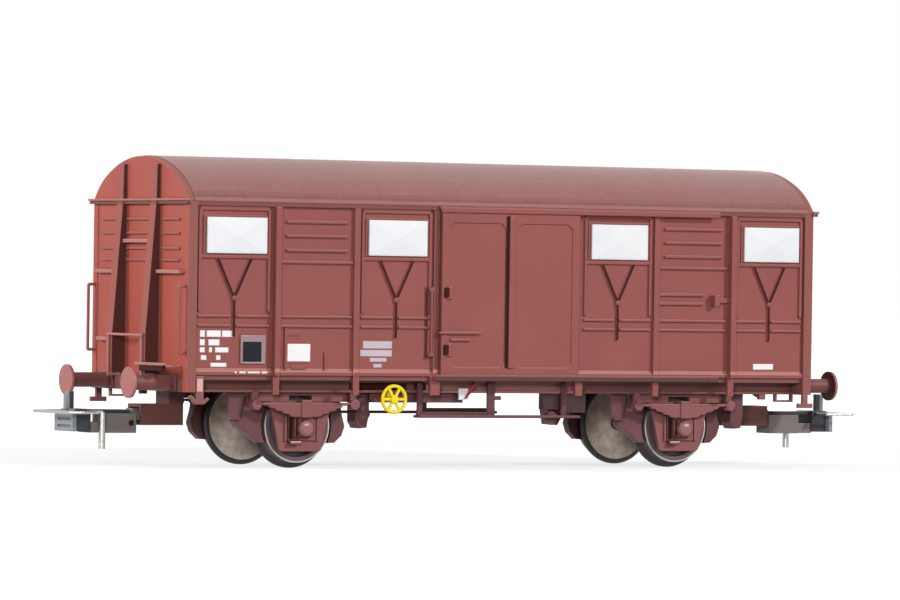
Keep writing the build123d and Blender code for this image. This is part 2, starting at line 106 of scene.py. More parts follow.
def makeSprayed(name, look):
    # injection-moulded ABS with a spray coat: dull even sheen, faint mottle, rubbed side edges, painted highlights
    # above, painted shade under edges, a little dust on what faces up, and a dark wash with painted shade in the
    # corners
    p = paintSettings
    material, tree, output, place = startMaterial(name)
    normal = addNode(tree, "ShaderNodeNewGeometry").outputs["Normal"]
    rounded = addNode(tree, "ShaderNodeBevel", {"samples": p["edgeSamples"]},
                      {"Radius": p["edgeMm"] * mm}).outputs["Normal"]
    recess = addNode(tree, "ShaderNodeAmbientOcclusion", {"samples": p["recessSamples"]},
                     {"Distance": look.get("recessMm", p["recessMm"]) * mm}).outputs["AO"]
    away, facing, bent = [addNode(tree, "ShaderNodeSeparateXYZ", inputs={"Vector": vector}).outputs
                          for vector in (place, normal, rounded)]
    mottle, speckle, grain = [
        addNode(tree, "ShaderNodeTexNoise", inputs={"Vector": place, "Scale": 1 / (size * mm), "Detail": detail,
                                                    "Roughness": rough}).outputs["Fac"]
        for size, detail, rough in (p["mottle"], p["speckle"], p["grain"])]

    layers = []    # colour, how its masks join, masks as socket, none at, full at, strength
    if "sideTone" in look:
        # the end's orange stops where the surface turns to the side, up or inward
        end = addNode(tree, "ShaderNodeMath", {"operation": "SIGN"}, {0: away["X"]})
        outward = addNode(tree, "ShaderNodeMath", {"operation": "MULTIPLY"},
                          {0: facing["X"], 1: end.outputs["Value"]})
        layers.append((look["sideTone"], "MULTIPLY", [(outward.outputs["Value"], *p["endTurned"], 1.0)]))
    for axis, low, high, zoneTone, faces in look.get("zones", ()):
        along = addNode(tree, "ShaderNodeMath", {"operation": "ABSOLUTE"}, {0: away[axis]}).outputs["Value"]
        blur = p["zoneBlurMm"]
        masks = [(along, (low - blur) * mm, (low + blur) * mm, 1.0),
                 (along, (high + blur) * mm, (high - blur) * mm, 1.0)]
        if faces:
            turned = addNode(tree, "ShaderNodeMath", {"operation": "ABSOLUTE"}, {0: facing[faces]})
            masks.append((turned.outputs["Value"], *p["zoneTurned"], 1.0))
        layers.append((zoneTone, "MULTIPLY", masks))
    settled = addNode(tree, "ShaderNodeMath", {"operation": "MULTIPLY"}, {0: facing["Z"], 1: speckle})
    lift = addNode(tree, "ShaderNodeMath", {"operation": "SUBTRACT"},
                   {0: bent["Z"], 1: facing["Z"]}).outputs["Value"]
    alike = addNode(tree, "ShaderNodeVectorMath", {"operation": "DOT_PRODUCT"}, {0: rounded, 1: normal})
    # upper edges get worn colour and a painted highlight; lower edges and corners get painted shade in the wash
    # colour
    layers += [
        (look["dust"], "MULTIPLY", [(settled.outputs["Value"], *p["dusty"], look["dustAmount"] * p["dustGain"])]),
        (look["edge"], "MAXIMUM", [(alike.outputs["Value"], *p["edgeTurned"], look["edgeAmount"] * p["edgeShare"]),
                                   (lift, *p["edgeLifted"], look["edgeAmount"])]),
        (look["shadeWash"], "MULTIPLY", [(lift, *p["edgeDropped"], look["shadeWashAmount"])]),
        (look["shadeWash"], "MULTIPLY", [(recess, *p["recessOpen"], look["shadeWashAmount"])]),
    ]

    tone = addNode(tree, "ShaderNodeValToRGB", inputs={"Fac": mottle},
                   stops=((p["toneFrom"], look["shade"]), (p["toneTo"], look["base"]))).outputs["Color"]
    for colour, joined, masks in layers:
        amount = 1.0 if joined == "MULTIPLY" else 0.0
        for socket, noneAt, fullAt, strength in masks:
            level = addNode(tree, "ShaderNodeMapRange", inputs={"Value": socket, "From Min": noneAt,
                                                                "From Max": fullAt, "To Max": strength})
            amount = addNode(tree, "ShaderNodeMath", {"operation": joined},
                             {0: amount, 1: level.outputs["Result"]}).outputs["Value"]
        tone = addNode(tree, "ShaderNodeMix", {"data_type": "RGBA"},
                       {"Factor": amount, "A": tone, "B": toLinear(colour)}).outputs["Result"]

    relief = addNode(tree, "ShaderNodeBump",
                     inputs={"Strength": p["grainStrength"], "Distance": p["grainDepthMm"] * mm,
                             "Height": grain, "Normal": rounded})
    glossier, duller = p["sheenSpread"]
    sheen = addNode(tree, "ShaderNodeMapRange", inputs={"Value": speckle, "To Min": look["roughness"] + glossier,
                                                        "To Max": look["roughness"] + duller})
    shader = addNode(tree, "ShaderNodeBsdfPrincipled",
                     inputs={"IOR": p["ior"], "Specular IOR Level": look.get("specular", p["specular"]),
                             "Base Color": tone, "Roughness": sheen.outputs["Result"],
                             "Normal": relief.outputs["Normal"]})
    tree.links.new(shader.outputs["BSDF"], output)
    return material


# a zone is a band of the coat in another tone, most of them painted highlight or painted shade: axis, distances in
# mm from the van's middle, tone, and the axis that its faces look along, or None for all faces
bodyLook = {"base": "#95524d", "shade": "#8e4d48", "dust": "#a8827a", "dustAmount": 0.1,
            "edge": "#cf938c", "edgeAmount": 0.6, "shadeWash": "#3e1c19", "shadeWashAmount": 0.42, "roughness": 0.52}
chassisLook = {"base": "#91595a", "shade": "#834d4d", "dust": "#94706a", "dustAmount": 0.2,
               "edge": "#d09c98", "edgeAmount": 0.7, "shadeWash": "#1e0e0d", "shadeWashAmount": 0.85,
               "recessMm": 1.1, "roughness": 0.48}
sprayedLooks = {
    # red-brown body colour, dull and even
    "sprayedBodyShell": bodyLook,
    # the walls carry a painted highlight above the sill and painted shade under the eave at the top
    "sprayedSideWalls": bodyLook | {"zones": (("Z", 14.2, 14.72, "#bc8079", "Y"),
                                              ("Z", 38.25, 38.95, "#7c4641", "Y"))},
    # the lower rail carries painted shade where it turns under, and a lighter painted shade just above
    "sprayedTrack": bodyLook | {"zones": (("Z", 13.0, 13.72, "#553532", "Y"),
                                          ("Z", 13.72, 14.0, "#85504a", "Y"))},
    # the ends are painted oranger, as painted warm light, with painted shade on the stanchions' fronts and sides
    # and under the eave
    "sprayedEndWalls": bodyLook | {"base": "#ad5447", "shade": "#a54d41", "edge": "#cf8e82",
                                   "edgeAmount": 0.5, "sideTone": "#8f534d",
                                   "zones": (("X", 53.95, 57.0, "#9a5248", "X"),
                                             ("X", 53.95, 57.0, "#4b2724", "Y"),
                                             ("Z", 38.45, 38.95, "#7e4038", "X"))},
    # rungs and rails are paler than the walls, with painted shade at the corner handles and on sideways faces near
    # the end steps
    "paleRungCoat": bodyLook | {"base": "#b87a72", "shade": "#b07269", "edge": "#dcaaa2",
                                  "zones": (("Y", 14.2, 15.0, "#9a5046", None),
                                            ("X", 56.1, 56.65, "#a5645b", "Y"))},
    # the strip at the eave of each end: a painted highlight, with a little dust
    "paleEaveCoat": bodyLook | {"base": "#a8706a", "shade": "#a06862", "edge": "#c89890"},
    # painted highlights: small pale pink glints on sharp moulded edges
    "paintedGlintCoat": bodyLook | {"base": "#e8b4ae", "shade": "#dca8a2", "edge": "#f4ccc6", "roughness": 0.35},
    # the roof is smoother and shines softly; painted shade darkens its lower part and a line above the eave, and a
    # painted highlight lies just above the eave
    "sprayedRoof": {"base": "#925652", "shade": "#8c514c", "dust": "#9c8580", "dustAmount": 0.25,
                    "edge": "#c08a84", "edgeAmount": 0.3, "shadeWash": "#4a2a28", "shadeWashAmount": 0.3,
                    "roughness": 0.36, "specular": 0.4,
                    "zones": (("Z", 39.5, 40.45, "#864a46", None), ("Z", 39.55, 39.9, "#793f3b", None),
                              ("Z", 39.12, 39.5, "#965e59", None))},
    # running gear: the same coat over deeper relief, with a heavy dark wash and painted shade in its recesses
    "sprayedChassis": chassisLook,
    # axle box covers catch the light
    "sprayedAxleBoxes": chassisLook | {"zones": (("Y", 12.7, 14.0, "#9a6764", None),)},
    # buffer heads carry a painted highlight at the rim and painted shade behind it
    "sprayedBuffers": chassisLook | {"base": "#7d4a46", "shade": "#6f403d",
                                     "zones": (("X", 60.42, 61.0, "#ac6c68", None),
                                               ("X", 60.0, 60.42, "#472725", None))},
    # frame pieces under the floor are painted darker as painted shade, and the middle of the solebar lighter as
    # painted light
    "shadedFrameCoat": chassisLook | {"base": "#85534f", "shade": "#744742", "edge": "#a0706c",
                                      "shadeWashAmount": 0.35, "zones": (("X", 0.0, 13.2, "#a8746e", "Y"),)},
    # coupling pocket, brake boxes and the wall behind the rods: the coat in deep, flat shade
    "shadedPocketCoat": chassisLook | {"base": "#73453f", "shade": "#633b36", "edge": "#946460",
                                       "shadeWashAmount": 0.35},
    "shadedBoxCoat": chassisLook | {"base": "#43282a", "shade": "#37201f", "edge": "#7a4c50",
                                    "shadeWashAmount": 0.6},
    "shadedWallCoat": bodyLook | {"base": "#683a35", "shade": "#5e332f", "edge": "#7a4843"},
    # brake gear, brown, with painted shade between its levers
    "shadedBrakeGearCoat": chassisLook | {"base": "#74484b", "shade": "#523032", "edge": "#9a6c6e",
                                     "shadeWash": "#180a0a", "recessMm": 1.4},
    # matt dark paint: painted shade in grooves, behind bars and on faces in shadow, and the dark screw heads
    "darkMattPaintAndShade": {"base": "#3c1a18", "shade": "#341614", "dust": "#4a2a28", "dustAmount": 0.1,
                       "edge": "#4c2826", "edgeAmount": 0.3, "shadeWash": "#1c0c0b", "shadeWashAmount": 0.5,
                       "roughness": 0.6, "specular": 0.1},
    # white vents, moulded in ABS of their own colour: clean, satin, with painted shade only in the corners
    "whiteVentMoulding": {"base": "#eff1f3", "shade": "#eaecef", "dust": "#e2e2e2", "dustAmount": 0.05,
                          "edge": "#f6f6f6", "edgeAmount": 0.2, "shadeWash": "#8c8a8a", "shadeWashAmount": 0.35,
                          "roughness": 0.42},
    # pad-printed white: flat, bright, no grain of its own
    "whitePadPrint": {"base": "#faf8f8", "shade": "#f4f1f0", "dust": "#e8e4e0", "dustAmount": 0.05,
                      "edge": "#ffffff", "edgeAmount": 0.2, "shadeWash": "#a09a98", "shadeWashAmount": 0.2,
                      "roughness": 0.5},
    # matt blue-black paint of the note board and its dull grey moulded frame
    "slateBoardPaint": {"base": "#22242a", "shade": "#1c1e24", "dust": "#38393f", "dustAmount": 0.1,
                        "edge": "#33353a", "edgeAmount": 0.2, "shadeWash": "#0c0c0e", "shadeWashAmount": 0.4,
                        "roughness": 0.6, "specular": 0.15},
    "greyBoardFrame": {"base": "#ab8e90", "shade": "#9f8284", "dust": "#b8a8a8", "dustAmount": 0.1,
                       "edge": "#dcc8c8", "edgeAmount": 0.6, "shadeWash": "#4a2a28", "shadeWashAmount": 0.3,
                       "roughness": 0.5},
    # thin white paint with the red showing through
    "fadedWhitePaint": {"base": "#d2c4cc", "shade": "#c2b2bc", "dust": "#d8d0d0", "dustAmount": 0.05,
                        "edge": "#e0d4da", "edgeAmount": 0.2, "shadeWash": "#a09a98", "shadeWashAmount": 0.2,
                        "roughness": 0.5},
    # satin paint on ABS, strong clear yellow and red
    "yellowHandWheelPaint": {"base": "#ffe41c", "shade": "#fadc16", "dust": "#f0e48c", "dustAmount": 0.1,
                             "edge": "#fff070", "edgeAmount": 0.4, "shadeWash": "#8a6a10", "shadeWashAmount": 0.3,
                             "roughness": 0.42},
    "redLeverPaint": {"base": "#b03a48", "shade": "#a4303c", "dust": "#b06a60", "dustAmount": 0.1,
                      "edge": "#c86a6c", "edgeAmount": 0.3, "shadeWash": "#4a1010", "shadeWashAmount": 0.4,
                      "roughness": 0.45},
    # couplings of unpainted nylon: waxy grey arm, near black head with a grey face
    "greyCouplingNylon": {"base": "#867d79", "shade": "#766e6a", "dust": "#8a807c", "dustAmount": 0.25,
                          "edge": "#b0a8a4", "edgeAmount": 0.6, "shadeWash": "#242120", "shadeWashAmount": 0.5,
                          "roughness": 0.48},
    "blackCouplingNylon": {"base": "#3a3b3e", "shade": "#2e2f33", "dust": "#6a6c6e", "dustAmount": 0.2,
                           "edge": "#8a8e92", "edgeAmount": 0.6, "shadeWash": "#101012", "shadeWashAmount": 0.5,
                           "roughness": 0.42, "zones": (("X", 65.3, 67.0, "#8c9096", None),)},
}
paint = {name: makeSprayed(name, look) for name, look in sprayedLooks.items()}


metalSettings = {"markDetail": 5.0, "markRoughness": 0.7, "toneFrom": 0.35, "toneTo": 0.65,
                 "sheenSpread": (-0.08, 0.12), "markStrength": 0.1, "markDepthMm": 0.01}
metalLooks = {
    # drawn nickel-silver wire: thin bright highlights
    "nickelWire": {"base": "#c4c5be", "shade": "#a2a39c", "roughness": 0.3, "scratchMm": 0.35},
    # turned and blackened steel: dark, with a dull gleam
    "blackenedAxleSteel": {"base": "#4c4c4e", "shade": "#303034", "roughness": 0.4, "scratchMm": 0.4},
    # stamped zinc-plated sheet: grey and a little cloudy
    "zincPlatedSteel": {"base": "#a8a8a4", "shade": "#8a8a88", "roughness": 0.35, "scratchMm": 0.6},
}


def makeMetal(name, look):
    # sharp highlights, broken by fine handling marks
    m = metalSettings
    material, tree, output, place = startMaterial(name)
    marks = addNode(tree, "ShaderNodeTexNoise",
                    inputs={"Vector": place, "Scale": 1 / (look["scratchMm"] * mm), "Detail": m["markDetail"],
                            "Roughness": m["markRoughness"]}).outputs["Fac"]
    tone = addNode(tree, "ShaderNodeValToRGB", inputs={"Fac": marks},
                   stops=((m["toneFrom"], look["shade"]), (m["toneTo"], look["base"])))
    glossier, duller = m["sheenSpread"]
    sheen = addNode(tree, "ShaderNodeMapRange", inputs={"Value": marks, "To Min": look["roughness"] + glossier,
                                                        "To Max": look["roughness"] + duller})
    relief = addNode(tree, "ShaderNodeBump", inputs={"Strength": m["markStrength"],
                                                     "Distance": m["markDepthMm"] * mm, "Height": marks})
    shader = addNode(tree, "ShaderNodeBsdfPrincipled",
                     inputs={"Metallic": 1.0, "Base Color": tone.outputs["Color"],
                             "Roughness": sheen.outputs["Result"], "Normal": relief.outputs["Normal"]})
    tree.links.new(shader.outputs["BSDF"], output)
    return material


metal = {name: makeMetal(name, look) for name, look in metalLooks.items()}


wheelSettings = {
    "disc": "#e0d0c2", "discShade": "#b4a494", "outer": "#5c4c4e", "tyre": "#221e1d", "ring": "#b2aea8",
    "grimeMm": 1.4, "grimeDetail": 4.0, "toneFrom": 0.3, "toneTo": 0.7, "blurMm": 0.05,
    "axleX": {"Left": -32.75, "Right": 32.75}, "axleZ": 6.25,
    # distances from the axle, and sideways from the middle of the van
    "discReach": 5.5, "ringFrom": 5.2, "ringTo": 5.5, "innerFaceY": 7.6, "outerFaceY": 9.8,
    "roughness": 0.5, "ringRoughness": 0.35,
}


def makeWheelFinish(name, axleX):
    # inner disc painted pale as painted light, outer disc dark by its own colour and by painted shade,
    # black tyre and flange, a bright turned ring on the face
    w = wheelSettings
    material, tree, output, place = startMaterial(name)
    flat = addNode(tree, "ShaderNodeVectorMath", {"operation": "MULTIPLY"}, {0: place, 1: (1, 0, 1)})
    reach = addNode(tree, "ShaderNodeVectorMath", {"operation": "DISTANCE"},
                    {0: flat.outputs["Vector"], 1: (axleX * mm, 0, w["axleZ"] * mm)}).outputs["Value"]
    away = addNode(tree, "ShaderNodeSeparateXYZ", inputs={"Vector": place}).outputs["Y"]
    aside = addNode(tree, "ShaderNodeMath", {"operation": "ABSOLUTE"}, {0: away}).outputs["Value"]
    outside, onFace, pastDisc, fromRing, pastRing = [
        addNode(tree, "ShaderNodeMapRange",
                inputs={"Value": socket, "From Min": w[limit] * mm, "From Max": (w[limit] + w["blurMm"]) * mm}
                ).outputs["Result"]
        for socket, limit in ((aside, "innerFaceY"), (aside, "outerFaceY"), (reach, "discReach"),
                              (reach, "ringFrom"), (reach, "ringTo"))]
    tyre = addNode(tree, "ShaderNodeMix", {"data_type": "FLOAT"},
                   {"Factor": outside, "A": pastDisc, "B": pastRing}).outputs["Result"]
    ring = addNode(tree, "ShaderNodeMath", {"operation": "MULTIPLY"}, {0: fromRing, 1: onFace})
    within = addNode(tree, "ShaderNodeMath", {"operation": "SUBTRACT"}, {0: 1.0, 1: pastRing})
    bright = addNode(tree, "ShaderNodeMath", {"operation": "MULTIPLY"},
                     {0: ring.outputs["Value"], 1: within.outputs["Value"]}).outputs["Value"]
    grime = addNode(tree, "ShaderNodeTexNoise", inputs={"Vector": place, "Scale": 1 / (w["grimeMm"] * mm),
                                                        "Detail": w["grimeDetail"]})
    tone = addNode(tree, "ShaderNodeValToRGB", inputs={"Fac": grime.outputs["Fac"]},
                   stops=((w["toneFrom"], w["discShade"]), (w["toneTo"], w["disc"]))).outputs["Color"]
    for mask, colour in ((outside, "outer"), (tyre, "tyre"), (bright, "ring")):
        tone = addNode(tree, "ShaderNodeMix", {"data_type": "RGBA"},
                       {"Factor": mask, "A": tone, "B": toLinear(w[colour])}).outputs["Result"]
    sheen = addNode(tree, "ShaderNodeMapRange", inputs={"Value": bright, "To Min": w["roughness"],
                                                        "To Max": w["ringRoughness"]})
    shader = addNode(tree, "ShaderNodeBsdfPrincipled",
                     inputs={"Base Color": tone, "Roughness": sheen.outputs["Result"], "Metallic": bright})
    tree.links.new(shader.outputs["BSDF"], output)
    return material


wheelFinish = {"wheels_" + side.lower(): makeWheelFinish("mouldedWheel" + side, axleX)
               for side, axleX in wheelSettings["axleX"].items()}
print("materials made")

# finish by node name without its side; the rest of the chassis has the chassis coat
finishOf = {
    "roof": paint["sprayedRoof"], "side_wall": paint["sprayedSideWalls"], "end_wall": paint["sprayedEndWalls"],
    "end_rails": paint["paleRungCoat"], "door_track": paint["sprayedTrack"],
    "door": paint["sprayedBodyShell"], "lock_rod": paint["sprayedBodyShell"],
    "vent_flaps": paint["whiteVentMoulding"], "hand_wheel": paint["yellowHandWheelPaint"],
    "brake_plate": paint["whitePadPrint"], "brake_lever": paint["redLeverPaint"],
    "coupler": paint["greyCouplingNylon"], "coupler_head": paint["blackCouplingNylon"],
    "loop": metal["nickelWire"], "axle": metal["blackenedAxleSteel"],
    "ballast_plate": metal["zincPlatedSteel"], "solebar": paint["shadedFrameCoat"],
    "floor_pan": paint["shadedFrameCoat"], "headstock": paint["shadedFrameCoat"],
    "coupler_pocket": paint["shadedPocketCoat"], "brake_gear": paint["shadedBrakeGearCoat"],
    "brake_boxes": paint["shadedBoxCoat"], "step_board": paint["shadedBrakeGearCoat"],
    "buffer": paint["sprayedBuffers"], "axle_boxes": paint["sprayedAxleBoxes"],
}
for nodeName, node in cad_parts.items():
    stem = nodeName
    for tail in ("_front", "_back", "_left", "_right"):
        stem = stem.removesuffix(tail)
    finish = wheelFinish.get(nodeName) or finishOf.get(stem, paint["sprayedChassis"])
    node.data.materials.clear()
    node.data.materials.append(finish)
print("nodes finished")


# Small pieces, with their measures in millimetres

wallY = 14.75    # outer face of the side walls


def deselectAll():
    if bpy.context.mode != "OBJECT":
        bpy.ops.object.mode_set(mode="OBJECT")
    bpy.ops.object.select_all(action="DESELECT")


def addBlock(name, low, high):
    deselectAll()
    middle = [(a + b) / 2 * mm for a, b in zip(low, high)]
    size = [(b - a) * mm for a, b in zip(low, high)]
    bpy.ops.mesh.primitive_cube_add(size=1, location=middle, scale=size)
    bpy.ops.object.transform_apply(location=True, rotation=True, scale=True)
    piece = bpy.context.object
    piece.name = name
    return piece


def shapeFront(piece, insets, crown=None):
    # insets the front face by each width and depth in turn and raises its middle to a crown
    bpy.context.view_layer.objects.active = piece
    bpy.ops.object.mode_set(mode="EDIT")
    bpy.ops.mesh.select_mode(type="FACE")
    bpy.ops.mesh.select_all(action="DESELECT")
    mesh = bmesh.from_edit_mesh(piece.data)
    for face in mesh.faces:
        face.select = face.normal.y < -0.99    # only the face that looks at -Y
    mesh.select_flush_mode()
    bmesh.update_edit_mesh(piece.data)
    for width, depth in insets:
        bpy.ops.mesh.inset(thickness=width * mm, depth=depth * mm)
    if crown:
        bpy.ops.mesh.poke(offset=crown * mm)
    deselectAll()


def roundEdges(piece, width, segments=2):
    deselectAll()
    piece.select_set(True)
    bpy.context.view_layer.objects.active = piece
    bevel = piece.modifiers.new("roundEdges", "BEVEL")
    bevel.width = width * mm
    bevel.segments = segments
    bevel.limit_method = "ANGLE"
    bpy.ops.object.modifier_apply(modifier=bevel.name)


def joinPieces(name, pieces):
    deselectAll()
    for piece in pieces:
        piece.select_set(True)
    bpy.context.view_layer.objects.active = pieces[0]
    if len(pieces) > 1:
        bpy.ops.object.join()
    joined = bpy.context.object
    joined.name = name
    return joined


def copyMoved(piece, shiftX):
    deselectAll()
    piece.select_set(True)
    bpy.context.view_layer.objects.active = piece
    bpy.ops.object.duplicate()
    twin = bpy.context.object
    bpy.ops.transform.translate(value=(shiftX * mm, 0, 0))
    bpy.ops.object.transform_apply(location=True, rotation=True, scale=True)
    return twin


def copyTurned(piece, name):
    # the same piece on the other side, half a turn about the van's middle
    deselectAll()
    piece.select_set(True)
    bpy.context.view_layer.objects.active = piece
    bpy.ops.object.duplicate()
    twin = bpy.context.object
    twin.matrix_world = Matrix.Rotation(pi, 4, "Z")
    bpy.ops.object.transform_apply(location=True, rotation=True, scale=True)
    twin.name = name
    return twin


def finishPiece(piece, material, body):
    piece.data.materials.clear()
    piece.data.materials.append(material)
    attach(piece, body)


def addPanels(name, blocks, insets=(), edge=None, crown=None):
    # blocks on the front wall: x, z and the distance out from the wall, each from and to
    panels = []
    for (x0, x1), (z0, z1), (back, front) in blocks:
        panel = addBlock(name, (x0, -wallY - front, z0), (x1, -wallY - back, z1))
        if insets:
            shapeFront(panel, insets, crown)
        if edge:
            roundEdges(panel, edge)
        panels.append(panel)
    return joinPieces(name, panels)


ventSettings = {
    "centresX": (-45.85, -18.98, 19.3, 46.46),
    "edge": 0.04,
    "vents": {
        # crowned white panel with a fine lip
        "ventPanels": {"halfWidth": 4.92, "z": (31.42, 36.68), "out": (0.1, 0.47), "crown": 0.2,
                       "insets": ((0.1, -0.04), (0.1, 0.04)),
                       "finish": "whiteVentMoulding", "slot": "vent_plastic"},
        "ventFrames": {"halfWidth": 5.4, "z": (31.22, 37.0), "out": (0.0, 0.18), "crown": None,
                       "insets": ((0.3, 0.0), (0.02, -0.08)),
                       "finish": "sprayedBodyShell", "slot": "body_plastic"},
    },
}


def makeVents():
    v = ventSettings
    first = v["centresX"][0]
    pieces = {}
    for name, vent in v["vents"].items():
        width = (first - vent["halfWidth"], first + vent["halfWidth"])
        pieces[name] = addPanels(name, ((width, vent["z"], vent["out"]),), vent["insets"], v["edge"], vent["crown"])
    for name, vent in v["vents"].items():
        row = [pieces[name]] + [copyMoved(pieces[name], x - first) for x in v["centresX"][1:]]
        front = joinPieces(name + "Front", row)
        back = copyTurned(front, name + "Back")
        for side, half in (("front", front), ("back", back)):
            finishPiece(half, paint[vent["finish"]], "van")
            if name == "ventPanels":
                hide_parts("vent_flaps_" + side)


makeVents()
print("vents made")


strutSettings = {"centresX": (-46.15, -19.13, 19.13, 46.15), "faceY": 15.05, "film": 0.04, "sunk": 0.02,
                 "halfWidth": 0.15, "footZ": 19.35, "knotZ": 24.95, "stemOver": 0.3, "topZ": 30.7,
                 "spread": 2.75, "edge": 0.01}


def makeStrutShades():
    # the forked struts read as dark lines: their faces carry painted shade
    t = strutSettings
    first = t["centresX"][0]
    y0, y1 = -t["faceY"] - t["film"], -t["faceY"] + t["sunk"]
    pieces = [addBlock("stem", (first - t["halfWidth"], y0, t["footZ"]),
                       (first + t["halfWidth"], y1, t["knotZ"] + t["stemOver"]))]
    rise = t["topZ"] - t["knotZ"]
    armLength = hypot(t["spread"], rise)
    for side in (-1, 1):
        middle = (first + side * t["spread"] / 2, -t["faceY"], t["knotZ"] + rise / 2)
        arm = addBlock("arm", (middle[0] - t["halfWidth"], y0, middle[2] - armLength / 2),
                       (middle[0] + t["halfWidth"], y1, middle[2] + armLength / 2))
        arm.select_set(True)
        bpy.ops.transform.rotate(value=-side * atan2(t["spread"], rise), orient_axis="Y",
                                 center_override=[value * mm for value in middle])
        bpy.ops.object.transform_apply(location=True, rotation=True, scale=True)
        pieces.append(arm)
    strut = joinPieces("strut", pieces)
    roundEdges(strut, t["edge"], 1)
    row = [strut] + [copyMoved(strut, x - first) for x in t["centresX"][1:]]
    front = joinPieces("strutShadesFront", row)
    back = copyTurned(front, "strutShadesBack")
    for half in (front, back):
        finishPiece(half, paint["darkMattPaintAndShade"], "van")


makeStrutShades()
print("strut shades made")


filmEdge = 0.02
filmSettings = {
    # name: body, finish, slot, whether a turned copy stands behind, blocks as low and high corner
    # strip along the eave of each end, a painted highlight
    "eaveStrip": ("van", "paleEaveCoat", "body_plastic", True,
                  (((-54.72, -15.65, 38.96), (-53.85, 15.65, 39.28)),)),
    # flange under each end step, painted dark as painted shade
    "stepFlange": ("van", "darkMattPaintAndShade", "frame_plastic", True,
                   (((-56.9, -13.2, 14.2), (-56.25, -5.95, 14.99)),)),
    # painted shade in the gap beside each axle box
    "boxShade": ("van", "darkMattPaintAndShade", "frame_plastic", True,
                 (((-35.0, -11.53, 4.3), (-34.27, -11.45, 8.1)),
                  ((30.5, -11.53, 4.3), (31.23, -11.45, 8.1)))),
    # painted highlight on the edge of the keeper under each axle box
    "keeperGlint": ("van", "paintedGlintCoat", "frame_plastic", True,
                   (((-34.85, -12.13, 3.82), (-33.15, -12.05, 4.05)),
                    ((30.65, -12.13, 3.82), (32.35, -12.05, 4.05)))),
    # painted highlight on the front of the corner step
    "stepGlint": ("van", "paintedGlintCoat", "frame_plastic", True,
                  (((-52.2, -15.34, 11.3), (-51.25, -15.25, 13.2)),)),
    # small marks on the sill under the boards
    "boardDashes": ("van", "whitePadPrint", "white_paint", True,
                    (((-45.95, -15.13, 14.0), (-45.6, -15.05, 14.28)),
                     ((-45.2, -15.13, 14.0), (-44.1, -15.05, 14.28)),
                     ((-43.8, -15.13, 14.0), (-41.8, -15.05, 14.28)),
                     ((-41.5, -15.13, 14.0), (-40.6, -15.05, 14.28)))),
    # shade beside the lock rod and two of the posts
    "rodShades": ("van", "shadedWallCoat", "body_plastic", True,
                  (((-14.18, -14.79, 16.45), (-13.6, -14.7, 26.9)),
                   ((-13.38, -14.79, 25.0), (-12.99, -14.7, 30.0)),
                   ((-12.72, -15.33, 14.9), (-12.2, -15.25, 37.5)),
                   ((-40.57, -14.79, 23.1), (-40.1, -14.7, 29.9)))),
    # painted shade on the frame's web
    "webShades": ("van", "darkMattPaintAndShade", "frame_plastic", True,
                  (((-25.0, -11.73, 11.62), (-15.3, -11.6, 12.6)),
                   ((-13.9, -11.73, 11.62), (-12.0, -11.6, 12.6)))),
    # shaded side of each axle box
    "boxSides": ("van", "darkMattPaintAndShade", "frame_plastic", True,
                 (((-34.2, -12.33, 4.8), (-33.75, -12.25, 7.4)),
                  ((31.3, -12.33, 4.8), (31.75, -12.25, 7.4)))),
    # painted highlight on the top of each axle box cover
    "boxGlints": ("van", "paintedGlintCoat", "frame_plastic", True,
                  (((-33.3, -13.37, 6.3), (-32.6, -13.25, 6.65)),
                   ((32.35, -13.37, 6.25), (33.1, -13.25, 6.65)))),
    # screw heads that ride the couplings
    "couplingScrewLeft": ("coupling_left", "darkMattPaintAndShade", "dark_plastic", False,
                          (((-56.28, -1.95, 6.02), (-55.52, -1.85, 6.78)),)),
    "couplingScrewRight": ("coupling_right", "darkMattPaintAndShade", "dark_plastic", False,
                           (((55.52, 1.85, 6.02), (56.28, 1.95, 6.78)),)),
    # faded bars on the wall beside the door
    "fadedBars": ("van", "fadedWhitePaint", "white_paint", True,
                  (((-24.5, -14.79, 17.75), (-19.6, -14.7, 18.85)),
                   ((-24.95, -14.79, 16.6), (-19.6, -14.7, 17.55)),
                   ((-23.3, -14.79, 15.8), (-20.5, -14.7, 16.4)),
                   ((-22.7, -14.79, 14.95), (-21.3, -14.7, 15.5)))),
    # painted shade in the grooves of each door's pillar and handles, which ride the doors
    "doorShadeFront": ("sliding_door_front", "darkMattPaintAndShade", "body_plastic", False,
                       (((-0.98, -15.93, 15.0), (-0.44, -15.85, 37.6)),
                        ((-11.45, -16.17, 25.45), (-10.72, -15.85, 26.85)),
                        ((-11.45, -16.17, 16.95), (-10.72, -15.85, 18.4)))),
    "doorShadeBack": ("sliding_door_back", "darkMattPaintAndShade", "body_plastic", False,
                      (((0.44, 15.85, 15.0), (0.98, 15.93, 37.6)),
                       ((10.72, 15.85, 25.45), (11.45, 16.17, 26.85)),
                       ((10.72, 15.85, 16.95), (11.45, 16.17, 18.4)))),
}


def makeFilms():
    # thin painted or moulded trim, each block a little rounded
    for name, (body, finish, slot, hasTwin, blocks) in filmSettings.items():
        parts = []
        for low, high in blocks:
            part = addBlock(name, low, high)
            roundEdges(part, filmEdge, 1)
            parts.append(part)
        piece = joinPieces(name, parts)
        if hasTwin:
            finishPiece(copyTurned(piece, name + "Turned"), paint[finish], body)
        finishPiece(piece, paint[finish], body)


makeFilms()
print("films made")


